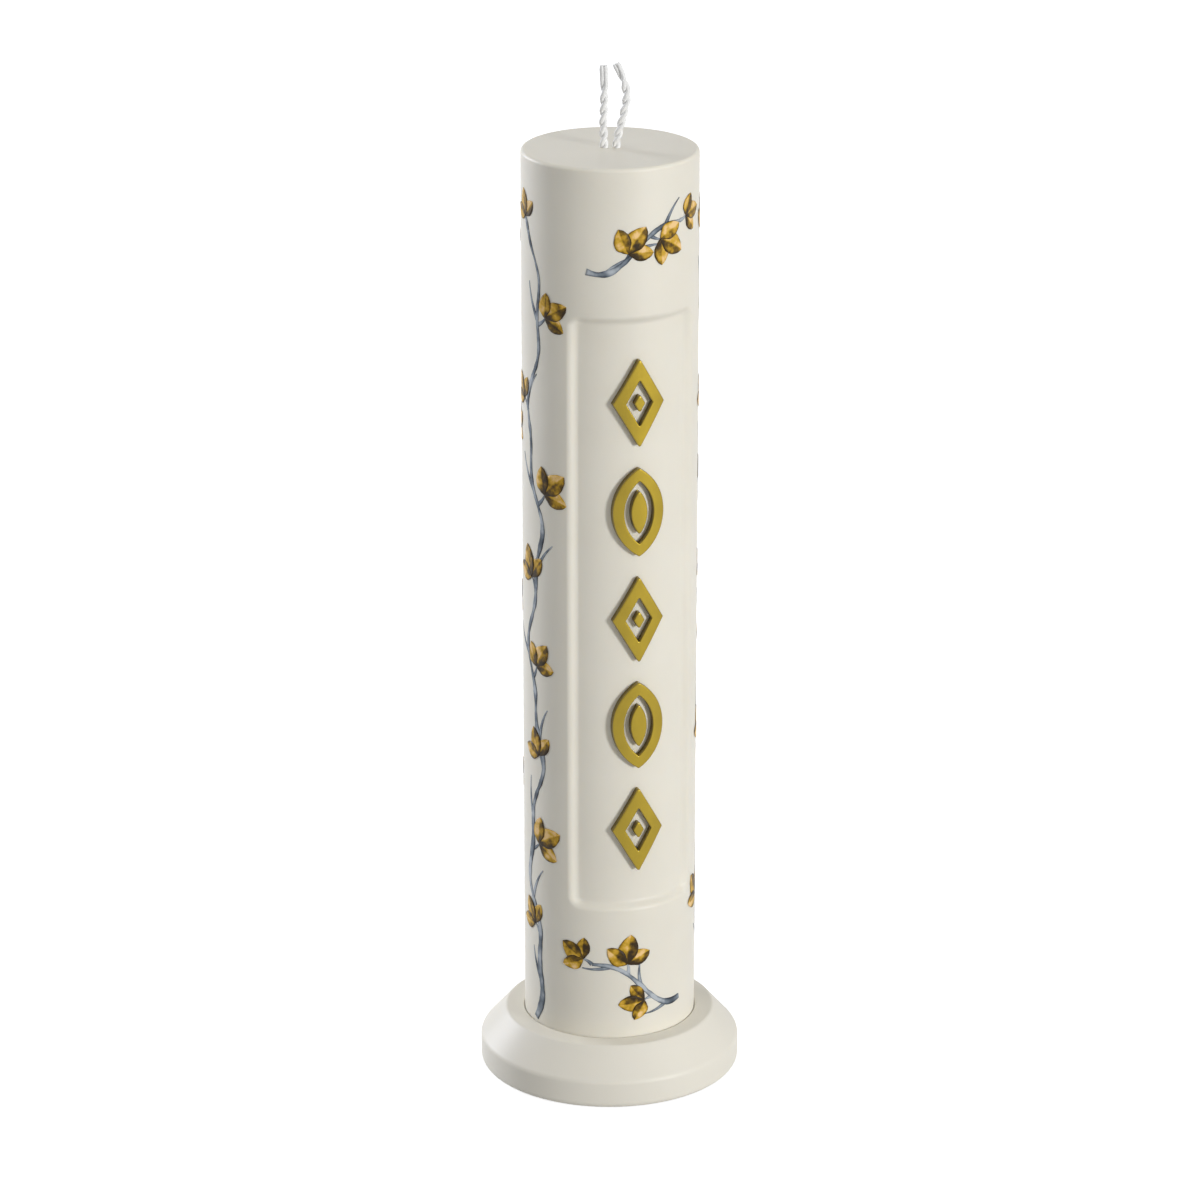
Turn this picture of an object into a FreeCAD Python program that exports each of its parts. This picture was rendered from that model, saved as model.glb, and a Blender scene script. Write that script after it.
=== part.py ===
import FreeCAD, Part
import math
import os

# Pillar candle with two wicks, a sunk front panel with gilt ornaments, and a round base.
# Millimetres. Origin: centre of the underside. +Z up. The panel faces -Y.

V = FreeCAD.Vector
UP = V(0, 0, 1)
CENTRE = V(0, 0, 0)

# ---- driving dimensions ------------------------------------------------------------------

# wax pillar
candle_d = 48.0
candle_length = 260.0
candle_top_round = 1.0
candle_foot_bevel = 0.6

# sunk panel on the front of the pillar
panel_depth = 1.6
panel_foot = 49.0           # from the foot of the pillar to the panel's rim
panel_head = 40.8           # from the top of the pillar to the panel's rim
panel_angle = 94.6          # how far the panel wraps round the pillar, degrees
panel_wall_ends = 1.8       # run of the sloped wall at the top and bottom of the panel
panel_wall_sides = 2.8      # run of the sloped wall at its two sides
panel_corner_r = 3.0
panel_blend = 2.0           # soft curve where the walls meet the floor and the pillar

# gilt ornaments on the panel floor, each a stud inside an open frame
frame_band = 3.0
stud_gap = 1.9              # between a stud and its frame
lozenge_stud_w = 3.1
lozenge_lean = 60.0         # slope of a lozenge's sides, degrees
flame_stud_w = 4.6
flame_arc_offset = 7.25     # from the middle of a flame to the centre of its far arc
ornament_gap = 5.7          # between one ornament and the next
ornament_margin = 8.0       # least room between the ornaments and the ends of the panel
plate_t = 2.0
plate_glue = 0.1            # glue under each plate
plate_bevel = 0.25          # round the front of each plate

# two wicks
wick_d = 2.0
wick_web = 1.3              # between the two wicks
wick_turn = -19.3           # turn of the pair about the pillar, degrees
wick_play = 0.1             # round a wick in the wax
wick_upright = 2.0          # how far above the wax a wick stays upright
wick_bend_reach = 3.0       # how far the upper bend reaches along the wick
left_bend_up = 15.5
left_bend_out = 0.1         # sideways from where the wick leaves the wax
left_tip_rise = 7.2         # from the bend to the tip
left_tip_out = -0.55
right_bend_up = 16.0
right_bend_out = 3.0
right_tip_rise = 7.2
right_tip_out = 0.1

# sustainer, the metal tab that grips the wicks at the foot of the pillar
tab_d = 20.0
tab_t = 0.5
neck_h = 7.0
neck_wall = 0.5
neck_play = 0.05            # between the neck and the wicks
pocket_play = 0.1           # between the sustainer and the wax

# base
base_side_h = 7.9           # the straight side
base_slope_rise = 8.2       # the sloped shoulder
base_slope_run = 7.2
base_land_w = 5.0           # flat land round the socket
base_floor_t = 4.5          # between the socket and the felt
base_shoulder_round = 2.2
base_foot_bevel = 1.2
base_lip_bevel = 0.5
socket_play = 0.3           # between the pillar and its socket
socket_bevel = 0.4          # at the socket's mouth

# felt under the base
felt_margin = 4.0           # from the edge of the base to the felt's recess
felt_t = 1.5
felt_proud = 0.3            # how far it stands below the base
felt_play = 0.5             # round its edge

# ---- places that follow from the sizes -----------------------------------------------------

foot_z = felt_t + base_floor_t
top_z = foot_z + candle_length
land_z = felt_proud + base_side_h + base_slope_rise
candle_r = candle_d / 2
panel_floor_r = candle_r - panel_depth
panel_z0 = foot_z + panel_foot
panel_z1 = top_z - panel_head
plate_back_r = panel_floor_r + plate_glue
plate_front_r = plate_back_r + plate_t
wick_r = wick_d / 2
wick_pitch = wick_d + wick_web
socket_r = candle_r + socket_play
lip_r = socket_r + base_land_w
base_r = lip_r + base_slope_run
recess_r = base_r - felt_margin
past = 2.0                  # how far a cutting shape runs past what it cuts
close = 0.01                # how near an edge has to be to the place it is looked for


# ---- helpers -------------------------------------------------------------------------------

def at_angle(radius, degrees):
    """A point round the pillar. 0 is the middle of the panel, and + is to its right."""
    turn = math.radians(degrees)
    return V(radius * math.sin(turn), -radius * math.cos(turn), 0)


def flat_face(points):
    """The flat face with straight edges through the points."""
    return Part.Face(Part.makePolygon(points + points[:1]))


def rounded_path(points, reaches):
    """Straight runs through the points. Each inner point is a sharp corner where its reach is 0,
    and otherwise a tangent arc that reaches so far along the runs beside it."""
    edges = []
    start = points[0]
    for before, corner, after, reach in zip(points, points[1:], points[2:], reaches):
        way_in = (corner - before).normalize()
        way_out = (after - corner).normalize()
        into = corner - way_in * reach
        out = corner + way_out * reach
        edges.append(Part.LineSegment(start, into).toShape())
        if reach:
            half_turn = way_in.getAngle(way_out) / 2
            inward = (way_out - way_in).normalize()
            middle = corner + inward * (reach * math.tan(half_turn / 2))
            edges.append(Part.Arc(into, middle, out).toShape())
        start = out
    edges.append(Part.LineSegment(start, points[-1]).toShape())
    return Part.Wire(edges)


def lies_at_radius(edge, radius):
    """Whether the whole edge is at this distance from the pillar's axis."""
    first, last = edge.ParameterRange
    points = [edge.valueAt(first + (last - first) * i / 4) for i in range(5)]
    return all(abs(math.hypot(p.x, p.y) - radius) < close for p in points)


def ring_edges(solid, radius, z):
    """The edges of the level circle of this radius at this height."""
    level = [e for e in solid.Edges if e.BoundBox.ZLength < close and abs(e.BoundBox.ZMax - z) < close]
    return [e for e in level if lies_at_radius(e, radius)]


def save(name, shape):
    """Writes one piece, and says what it came to."""
    piece = shape.removeSplitter()
    piece.exportStep(os.path.join("parts", name + ".step"))
    print("%-16s %10.1f mm3  solids %d  valid %s" % (name, piece.Volume, len(piece.Solids), piece.isValid()))


# ---- wax pillar ----------------------------------------------------------------------------

def panel_slab(reach, grow):
    """A half ring whose top and bottom slope like the panel's end walls."""
    low = panel_z0 + panel_wall_ends
    high = panel_z1 - panel_wall_ends
    spread = panel_wall_ends * grow
    section = flat_face([
        V(-panel_floor_r, 0, low), V(-reach, 0, low - spread),
        V(-reach, 0, high + spread), V(-panel_floor_r, 0, high)])
    return section.revolve(CENTRE, UP, 180)


def panel_wedge(reach, grow):
    """A prism whose two sides slope like the panel's side walls."""
    rim_turn = panel_angle / 2
    floor_turn = rim_turn - math.degrees(panel_wall_sides / candle_r)
    sides = []
    for side in (1, -1):
        low = at_angle(panel_floor_r, side * floor_turn)
        slope = at_angle(candle_r, side * rim_turn) - low
        sides.append([low - slope / 2, low + slope * grow, V(side * 3 * reach, -3 * reach, 0)])
    right, left = sides
    plan = flat_face(right + left[::-1])
    wedge = plan.extrude(V(0, 0, panel_z1 - panel_z0 + 2 * reach))
    return wedge.translated(V(0, 0, panel_z0 - reach))


def blend_within_walls():
    """The panel's blend, no larger than two of them leave room for on its steeper wall."""
    blend = panel_blend
    for run in (panel_wall_ends, panel_wall_sides):
        slope = math.atan2(panel_depth, run)
        blend = min(blend, 0.45 * math.hypot(panel_depth, run) / math.tan(slope / 2))
    return blend


def runs_outward(edge):
    """Whether an edge of the panel's cutter climbs from the floor to the mouth."""
    ends = [math.hypot(v.X, v.Y) for v in edge.Vertexes]
    return len(ends) == 2 and abs(ends[0] - ends[1]) > panel_depth


def panel_cutter():
    """The wax taken out for the panel: sloped walls, round corners, a soft edge to the floor."""
    reach = candle_r + past
    grow = (reach - panel_floor_r) / panel_depth
    cutter = panel_slab(reach, grow).common(panel_wedge(reach, grow))
    cutter = cutter.makeFillet(panel_corner_r, [e for e in cutter.Edges if runs_outward(e)])
    floor_edges = [e for e in cutter.Edges if lies_at_radius(e, panel_floor_r)]
    return cutter.makeFillet(blend_within_walls(), floor_edges)


def on_panel_rim(edge):
    """Whether an edge of the pillar is part of the panel's mouth."""
    box = edge.BoundBox
    beside = panel_z0 - past < box.ZMin and box.ZMax < panel_z1 + past
    return beside and lies_at_radius(edge, candle_r)


def candle_body():
    pillar = Part.makeCylinder(candle_r, candle_length, V(0, 0, foot_z))
    pillar = pillar.makeFillet(candle_top_round, ring_edges(pillar, candle_r, top_z))
    pillar = pillar.makeChamfer(candle_foot_bevel, ring_edges(pillar, candle_r, foot_z))
    pillar = pillar.cut(panel_cutter())
    pillar = pillar.makeFillet(blend_within_walls(), [e for e in pillar.Edges if on_panel_rim(e)])
    for side in (-1, 1):
        start = wick_spot(side) + V(0, 0, foot_z - past)
        pillar = pillar.cut(Part.makeCylinder(wick_r + wick_play, candle_length + 2 * past, start))
    pocket = Part.makeCylinder(tab_d / 2 + pocket_play, tab_t + pocket_play, V(0, 0, foot_z))
    neck = round_both_wicks(neck_play + neck_wall + pocket_play, neck_h + pocket_play)
    return pillar.cut(pocket).cut(neck)


# ---- wicks and their sustainer -------------------------------------------------------------

def sideways():
    """The direction from the left wick to the right one."""
    turn = math.radians(wick_turn)
    return V(math.cos(turn), math.sin(turn), 0)


def wick_spot(side):
    """Where a wick stands: side is -1 for the left one and 1 for the right."""
    return sideways() * (side * wick_pitch / 2)


def round_both_wicks(margin, height):
    """An upright prism round the pair of wicks, with round ends, from the foot of the pillar."""
    r = wick_r + margin
    prism = Part.makeBox(wick_pitch, 2 * r, height, V(-wick_pitch / 2, -r, foot_z))
    prism = prism.rotated(CENTRE, UP, wick_turn)
    for side in (-1, 1):
        prism = prism.fuse(Part.makeCylinder(r, height, wick_spot(side) + V(0, 0, foot_z)))
    return prism.removeSplitter()


def wick(side, bend_out, bend_up, tip_out, tip_rise):
    """One wick: straight up through the wax, then the free end that stands above it."""
    foot = wick_spot(side) + V(0, 0, foot_z)
    top = wick_spot(side) + V(0, 0, top_z)
    path = rounded_path(
        [foot, top + UP * wick_upright, top + sideways() * bend_out + UP * bend_up,
         top + sideways() * tip_out + UP * (bend_up + tip_rise)],
        [wick_upright, wick_bend_reach])
    section = Part.Wire(Part.makeCircle(wick_r, foot, UP))
    return path.makePipeShell([section], True, False)


def wick_sustainer():
    tab = Part.makeCylinder(tab_d / 2, tab_t, V(0, 0, foot_z))
    neck = round_both_wicks(neck_play + neck_wall, neck_h)
    return tab.fuse(neck).cut(round_both_wicks(neck_play, neck_h))


# ---- gilt ornaments --------------------------------------------------------------------------

def lozenge(grown):
    """Half the width and height of a lozenge: its stud, grown by an even margin."""
    lean = math.radians(lozenge_lean)
    x = lozenge_stud_w / 2 + grown / math.sin(lean)
    return x, x * math.tan(lean)


def flame(grown):
    """Half the width and height of a flame: its stud, grown by an even margin."""
    x = flame_stud_w / 2 + grown
    return x, math.sqrt((flame_arc_offset + x) ** 2 - flame_arc_offset ** 2)


def lozenge_face(grown):
    x, z = lozenge(grown)
    return flat_face([V(x, 0, 0), V(0, 0, z), V(-x, 0, 0), V(0, 0, -z)])


def flame_face(grown):
    """Two arcs that meet in a point above and below."""
    x, z = flame(grown)
    right = Part.Arc(V(0, 0, -z), V(x, 0, 0), V(0, 0, z)).toShape()
    left = Part.Arc(V(0, 0, z), V(-x, 0, 0), V(0, 0, -z)).toShape()
    return Part.Face(Part.Wire([right, left]))


def bent_plate(face, z):
    """The face's prism between two radii, so that its back follows the panel floor."""
    prism = face.extrude(V(0, -plate_front_r - past, 0)).translated(V(0, 0, z))
    height = face.BoundBox.ZLength + 2 * past
    foot = V(0, 0, z - height / 2)
    shell = Part.makeCylinder(plate_front_r, height, foot)
    shell = shell.cut(Part.makeCylinder(plate_back_r, height, foot))
    plate = shell.common(prism)
    return plate.makeChamfer(plate_bevel, [e for e in plate.Edges if lies_at_radius(e, plate_front_r)])


def save_ornaments():
    """Lozenges and flames in turn down the middle of the panel, as many as it has room for."""
    full = stud_gap + frame_band
    pitch = 2 * max(lozenge(full)[1], flame(full)[1]) + ornament_gap
    count = int((panel_z1 - panel_z0 - 2 * ornament_margin + ornament_gap) / pitch)
    top_ornament_z = (panel_z0 + panel_z1 + pitch * (count - 1)) / 2
    for place in range(count):
        kind, face = (("lozenge", lozenge_face), ("flame", flame_face))[place % 2]
        number = place // 2 + 1
        z = top_ornament_z - pitch * place
        frame = face(full).cut(face(stud_gap))
        save("%s_frame_%d" % (kind, number), bent_plate(frame, z))
        save("%s_stud_%d" % (kind, number), bent_plate(face(0), z))


# ---- base and felt ---------------------------------------------------------------------------

def base():
    """A round dish: straight side, sloped shoulder, flat land, and a socket for the pillar."""
    shoulder_turn = math.atan2(base_slope_run, base_slope_rise)
    shoulder_reach = base_shoulder_round * math.tan(shoulder_turn / 2)
    outline = rounded_path(
        [V(0, 0, felt_t), V(recess_r, 0, felt_t), V(recess_r, 0, felt_proud), V(base_r, 0, felt_proud),
         V(base_r, 0, felt_proud + base_side_h), V(lip_r, 0, land_z), V(socket_r, 0, land_z),
         V(socket_r, 0, foot_z), V(0, 0, foot_z)],
        [0, 0, 0, shoulder_reach, 0, 0, 0])
    axis = Part.LineSegment(V(0, 0, foot_z), V(0, 0, felt_t)).toShape()
    dish = Part.Face(Part.Wire(outline.Edges + [axis])).revolve(CENTRE, UP, 360)
    bevels = [(base_foot_bevel, base_r, felt_proud), (base_lip_bevel, lip_r, land_z),
              (socket_bevel, socket_r, land_z)]
    for size, radius, z in bevels:
        dish = dish.makeChamfer(size, ring_edges(dish, radius, z))
    return dish


def felt_pad():
    return Part.makeCylinder(recess_r - felt_play, felt_t)


os.makedirs("parts", exist_ok=True)
save("base", base())
save("felt_pad", felt_pad())
save("candle_body", candle_body())
save("wick_left", wick(-1, left_bend_out, left_bend_up, left_tip_out, left_tip_rise))
save("wick_right", wick(1, right_bend_out, right_bend_up, right_tip_out, right_tip_rise))
save("wick_sustainer", wick_sustainer())
save_ornaments()
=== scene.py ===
import math
from functools import reduce

import bmesh
import bpy
import numpy as np
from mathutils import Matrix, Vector


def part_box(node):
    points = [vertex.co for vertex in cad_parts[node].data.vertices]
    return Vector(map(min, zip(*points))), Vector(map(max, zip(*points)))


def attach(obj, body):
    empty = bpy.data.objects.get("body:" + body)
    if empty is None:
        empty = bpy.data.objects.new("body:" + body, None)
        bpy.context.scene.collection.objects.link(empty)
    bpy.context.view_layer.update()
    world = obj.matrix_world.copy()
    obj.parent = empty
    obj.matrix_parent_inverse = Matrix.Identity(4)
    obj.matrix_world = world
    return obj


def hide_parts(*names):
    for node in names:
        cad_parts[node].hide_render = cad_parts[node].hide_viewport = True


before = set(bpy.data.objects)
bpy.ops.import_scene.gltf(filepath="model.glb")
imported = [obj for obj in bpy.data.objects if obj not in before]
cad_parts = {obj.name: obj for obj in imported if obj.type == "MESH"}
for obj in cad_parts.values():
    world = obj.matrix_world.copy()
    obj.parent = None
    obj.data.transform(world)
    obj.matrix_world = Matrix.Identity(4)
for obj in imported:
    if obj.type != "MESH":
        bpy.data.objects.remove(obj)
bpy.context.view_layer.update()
print("frame loaded:", len(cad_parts), "nodes")

# Sizes are in millimetres, apart from the studio's, which are in metres. Angles are in degrees, and
# angle 0 is the middle of the panel, with + to its right.
mm = 0.001
waxLow, waxHigh = [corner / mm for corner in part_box("candle_body")]
dishLow, dishHigh = [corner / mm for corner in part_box("base")]
feltLow, feltHigh = [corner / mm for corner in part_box("felt_pad")]
waxRadius = waxHigh.x


# meshes

def addObject(name, mesh):
    piece = bpy.data.objects.new(name, mesh)
    bpy.context.scene.collection.objects.link(piece)
    return piece


def skin(name, rings, closing):
    # rings of equal length become one closed shell: "poles" ends in a point at both ends,
    # and "loop" joins the last ring to the first
    count = len(rings[0])
    points = [tuple(point) for ring in rings for point in ring]
    faces = []
    for i in range(len(rings) if closing == "loop" else len(rings) - 1):
        low, high = i * count, (i + 1) % len(rings) * count
        faces += [(low + j, low + (j + 1) % count, high + (j + 1) % count, high + j) for j in range(count)]
    if closing == "poles":
        for ring in (0, len(rings) - 1):
            faces += [(ring * count + j, ring * count + (j + 1) % count, len(points)) for j in range(count)]
            points.append(tuple(np.mean(rings[ring], axis=0)))
    mesh = bpy.data.meshes.new(name)
    mesh.from_pydata([Vector(point) * mm for point in points], [], faces)
    shell = bmesh.new()
    shell.from_mesh(mesh)
    bmesh.ops.recalc_face_normals(shell, faces=shell.faces)
    shell.to_mesh(mesh)
    shell.free()
    mesh.shade_smooth()
    return addObject(name, mesh)


def roundCorner(before, corner, after, rounding, steps):
    # the arc that takes the corner's place, after its start and the ways in and out
    wayIn = (corner - before).normalized()
    wayOut = (after - corner).normalized()
    turn = wayIn.angle(wayOut)
    inward = (wayOut - wayIn * wayIn.dot(wayOut)).normalized()
    start = corner - wayIn * rounding * math.tan(turn / 2)
    middle = start + inward * rounding
    parts = [turn * step / steps for step in range(steps + 1)]
    arc = [middle + rounding * (wayIn * math.sin(part) - inward * math.cos(part)) for part in parts]
    return start, wayIn, wayOut, arc


def softProfile(corners, arcSteps=8, hold=0.07):
    # corners are (radius, height, rounding). Each inner one turns in an arc, with a point held close
    # on either side of it, so that the flats beside it shade flat
    places = [Vector(corner[:2]) for corner in corners]
    line = [places[0]]
    for i in range(1, len(corners) - 1):
        start, wayIn, wayOut, arc = roundCorner(*places[i - 1:i + 2], corners[i][2], arcSteps)
        line += [start - wayIn * hold, *arc, arc[-1] + wayOut * hold]
    return line + [places[-1]]


def ringAt(turn, reach, z):
    # turn holds the ring's angles in radians
    return np.column_stack((reach * np.sin(turn), -reach * np.cos(turn), np.full(len(turn), z)))


def lathe(name, profile, segments=192):
    turn = np.linspace(0, math.tau, segments, endpoint=False)
    return skin(name, [ringAt(turn, r, z) for r, z in profile], "poles")


def dress(piece, material, slotName, body, *nodes):
    # nodes are the CAD nodes that the piece stands in for
    if material.name not in piece.data.materials:
        piece.data.materials.append(material)
    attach(piece, body)
    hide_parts(*nodes)


# node trees

def put(tree, kind, inputs=None, **settings):
    node = tree.nodes.new(kind)
    for key, value in settings.items():
        setattr(node, key, value)
    for key, value in (inputs or {}).items():
        socket = node.inputs[key]
        if isinstance(value, bpy.types.NodeSocket):
            tree.links.new(value, socket)
        else:
            socket.default_value = value
    return node


def out(tree, kind, inputs=None, **settings):
    # a new node's first output
    return put(tree, kind, inputs, **settings).outputs[0]


def calc(tree, operation, *values):
    return out(tree, "ShaderNodeMath", dict(enumerate(values)), operation=operation)


def times(tree, *values):
    return reduce(lambda product, value: calc(tree, "MULTIPLY", product, value), values)


def plus(tree, *values):
    return reduce(lambda total, value: calc(tree, "ADD", total, value), values)


def remap(tree, value, fromSpan, toSpan=(0, 1), **settings):
    return out(tree, "ShaderNodeMapRange", {
        "Value": value, "From Min": fromSpan[0], "From Max": fromSpan[1],
        "To Min": toSpan[0], "To Max": toSpan[1]}, **settings)


def combine(tree, **parts):
    return out(tree, "ShaderNodeCombineXYZ", parts)


def vectorCalc(tree, operation, *values):
    return out(tree, "ShaderNodeVectorMath", dict(enumerate(values)), operation=operation)


def scaled(tree, vector, factor):
    return out(tree, "ShaderNodeVectorMath", {"Vector": vector, "Scale": factor}, operation="SCALE")


geometryOnly = {"Geometry": ["Geometry"]}


def newTree(name, kind, inputs, outputs=geometryOnly):
    # inputs and outputs are {socket kind: labels}; gives the tree and its input and output sockets
    tree = bpy.data.node_groups.new(name, kind)
    for direction, sockets in (("INPUT", inputs), ("OUTPUT", outputs)):
        for socketKind, labels in sockets.items():
            for label in labels:
                tree.interface.new_socket(label, in_out=direction, socket_type="NodeSocket" + socketKind)
    return tree, tree.nodes.new("NodeGroupInput").outputs, tree.nodes.new("NodeGroupOutput").inputs


def addCurves(tree, given, step):
    # smooth curves through the paths' points, with a point at every step along them
    curves = out(tree, "GeometryNodeMeshToCurve", {"Mesh": given["Geometry"]})
    curves = out(tree, "GeometryNodeCurveSplineType", {"Curve": curves}, spline_type="CATMULL_ROM")
    return out(tree, "GeometryNodeResampleCurve", {"Curve": curves, "Length": step}, mode="LENGTH")


def storeValue(tree, geometry, name, value):
    return out(tree, "GeometryNodeStoreNamedAttribute", {
        "Geometry": geometry, "Name": name, "Value": value})


def closeTree(tree, geometry, given, result, wrap=None):
    # the last steps of a piece's tree
    if wrap:
        geometry = out(tree, "GeometryNodeGroup", {
            "Geometry": geometry, "Radius": given["Radius"], "Gap": given["Gap"]}, node_tree=wrap)
    plain = out(tree, "GeometryNodeRealizeInstances", {"Geometry": geometry})
    finished = out(tree, "GeometryNodeSetMaterial", {"Geometry": plain, "Material": given["Material"]})
    tree.links.new(finished, result["Geometry"])
    return tree


def lengths(sizes, *labels):
    # values for a tree's inputs: "Leaf Width" is leafWidth in metres
    return {label: sizes[label[0].lower() + label[1:].replace(" ", "")] * mm for label in labels}


def grow(name, paths, tree, values, thickness=0):
    # runs a geometry tree on the paths, which are lists of points, and leaves a plain mesh
    points, edges = [], []
    for path in paths:
        edges += [(len(points) + i, len(points) + i + 1) for i in range(len(path) - 1)]
        points += [Vector(point) * mm for point in path]
    chains = bpy.data.meshes.new(name + "Path")
    chains.from_pydata(points, edges, [])
    source = addObject(name + "Path", chains)
    shape = source.modifiers.new("shape", "NODES")
    shape.node_group = tree
    for item in tree.interface.items_tree:
        if item.in_out == "INPUT" and item.name in values:
            shape[item.identifier] = values[item.name]
    if thickness:
        shell = source.modifiers.new("thickness", "SOLIDIFY")
        shell.thickness = thickness * mm
        shell.offset = 1
    depsgraph = bpy.context.evaluated_depsgraph_get()
    mesh = bpy.data.meshes.new_from_object(source.evaluated_get(depsgraph), depsgraph=depsgraph)
    mesh.name = name
    bpy.data.objects.remove(source)
    return addObject(name, mesh)


# shader groups that several finishes share

noise = {
    "driftDetail": 3,
    "driftSpan": (0.3, 0.7),    # where most of the noise's values lie
    "grainDetail": 4,
    "grainSpan": (0.25, 0.75),
}


def addNoise(tree, scale, detail, stretch=(1, 1, 1)):
    place = put(tree, "ShaderNodeTexCoord").outputs["Object"]
    stretched = vectorCalc(tree, "MULTIPLY", place, stretch)
    return out(tree, "ShaderNodeTexNoise", {"Vector": stretched, "Scale": scale, "Detail": detail})


def makeDrift():
    # a slow, even change of tone between two colours
    tree, given, result = newTree(
        "toneDrift", "ShaderNodeTree", {"Float": ["Scale"], "Color": ["Low", "High"]}, {"Color": ["Color"]})
    spread = remap(tree, addNoise(tree, given["Scale"], noise["driftDetail"]), noise["driftSpan"])
    mixed = put(tree, "ShaderNodeMix", {0: spread, 6: given["Low"], 7: given["High"]}, data_type="RGBA")
    tree.links.new(mixed.outputs[2], result["Color"])
    return tree


def makeGrain():
    # fine surface grain: a height for bumps, and a roughness that follows it
    tree, given, result = newTree(
        "fineGrain", "ShaderNodeTree",
        {"Float": ["Scale", "Smooth", "Rough"], "Vector": ["Stretch"]}, {"Float": ["Height", "Roughness"]})
    grit = addNoise(tree, given["Scale"], noise["grainDetail"], given["Stretch"])
    rough = remap(tree, grit, noise["grainSpan"], (given["Smooth"], given["Rough"]))
    tree.links.new(grit, result["Height"])
    tree.links.new(rough, result["Roughness"])
    return tree


toneDrift = makeDrift()
fineGrain = makeGrain()


# which of a finish's values go on the shader's own sockets
plainSockets = {
    "metal": "Metallic", "refraction": "IOR", "shine": "Specular IOR Level", "sheen": "Sheen Weight",
    "sheenRoughness": "Sheen Roughness", "coat": "Coat Weight", "coatRoughness": "Coat Roughness",
    "coatRefraction": "Coat IOR", "glow": "Subsurface Weight", "glowColour": "Subsurface Radius"}


def newMaterial(name, look):
    material = bpy.data.materials.new(name)
    material.use_nodes = True
    sockets = material.node_tree.nodes["Principled BSDF"].inputs
    for key, label in plainSockets.items():
        if key in look:
            sockets[label].default_value = look[key]
    if "glowReach" in look:
        sockets["Subsurface Scale"].default_value = look["glowReach"] * mm
    return material, material.node_tree, sockets


def addGrain(tree, sockets, look):
    # roughness and bumps from the same grain
    grain = put(tree, "ShaderNodeGroup", {
        "Scale": look["grainScale"], "Stretch": look.get("grainStretch", (1, 1, 1)),
        "Smooth": look["smooth"], "Rough": look["rough"]}, node_tree=fineGrain).outputs
    bump = put(tree, "ShaderNodeBump", {
        "Height": grain["Height"], "Distance": look["grainDepth"] * mm})
    tree.links.new(grain["Roughness"], sockets["Roughness"])
    tree.links.new(bump.outputs["Normal"], sockets["Normal"])


def makeFinish(name, look):
    # a drift between two colours, with a grain
    material, tree, sockets = newMaterial(name, look)
    drift = put(tree, "ShaderNodeGroup", {
        "Scale": look["driftScale"], "Low": (*look["lowColour"], 1), "High": (*look["highColour"], 1)},
        node_tree=toneDrift)
    tree.links.new(drift.outputs["Color"], sockets["Base Color"])
    addGrain(tree, sockets, look)
    return material


# what the wax and the base share
ivory = {
    "driftScale": 38,
    "grainScale": 2600,
    "grainDepth": 0.004,
    "refraction": 1.44,
    "glowColour": (1.0, 0.86, 0.66),
    "glowReach": 1.6,           # how far light passes under the surface
}


# wax pillar

pillar = {
    "panelDepth": 1.6,
    "panelFoot": 49.0,          # from the pillar's foot to the panel's rim
    "panelHead": 40.8,          # from the pillar's top to the panel's rim
    "panelAngle": 94.6,
    "wallEnds": 1.8,            # run of the sloped walls
    "wallSides": 2.1,
    "cornerRound": 3.0,
    "wallSoftness": 0.45,       # share of a wall that eases in, and the same out
    "wallOverrun": 0.6,         # how far the easing runs past the wall
    "topRound": 1.0,
    "footRound": 0.6,
    "pocketRadius": 10.1,       # for the sustainer in the foot
    "pocketDepth": 0.6,
    "pocketRound": 0.1,
    "pocketLip": 0.15,
    "coarseTurn": 2.0,
    "fineStep": 0.15,           # mesh step on the panel's walls
    "wideStep": 9.0,
    "plainEdge": 0.5,           # plain side between a rounded edge and the first step
    "topSteps": 12,             # round the top's edge
    "topRings": (14.0, 5.0),    # radii
    "footRing": 2.0,
    "lowColour": (0.80, 0.765, 0.668),
    "highColour": (0.832, 0.798, 0.702),
    "smooth": 0.38,
    "rough": 0.50,
    "glow": 0.30,
}
panelLow, panelHigh = waxLow.z + pillar["panelFoot"], waxHigh.z - pillar["panelHead"]


def easedStep(t, ease):
    # 0 to 1 with a straight middle and a parabola at each end
    t = np.clip(t, 0, 1)
    slope = 1 / (1 - ease)
    straight = slope * (t - ease / 2)
    rising = slope * t * t / (2 * ease)
    ending = 1 - slope * (1 - t) ** 2 / (2 * ease)
    return np.where(t < ease, rising, np.where(t > 1 - ease, ending, straight))


def panelDepthAt(turn, z):
    # how deep the panel is sunk at an angle in radians and a height
    over = pillar["wallOverrun"]
    sides, ends = pillar["wallSides"] + 2 * over, pillar["wallEnds"] + 2 * over
    halfWidth = waxRadius * math.radians(pillar["panelAngle"] / 2)
    across = (halfWidth + over - np.abs(turn) * waxRadius) / sides
    along = ((panelHigh - panelLow) / 2 + over - np.abs(z - (panelLow + panelHigh) / 2)) / ends
    corner = pillar["cornerRound"] / pillar["wallSides"]
    inCorner = (across < corner) & (along < corner)
    roundedOff = corner - np.hypot(corner - across, corner - along)
    inside = np.where(inCorner, roundedOff, np.minimum(across, along))
    return pillar["panelDepth"] * easedStep(inside, pillar["wallSoftness"])


def spacedLines(low, high, busy, coarse, fine):
    # lines from low to high, coarse in general and fine in the busy stretches
    lines = [low]
    for ends in (*busy, (high,)):
        for end, step in zip(ends, (coarse, fine)):
            lines += list(np.linspace(lines[-1], end, math.ceil((end - lines[-1]) / step) + 1)[1:])
    return lines


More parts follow.
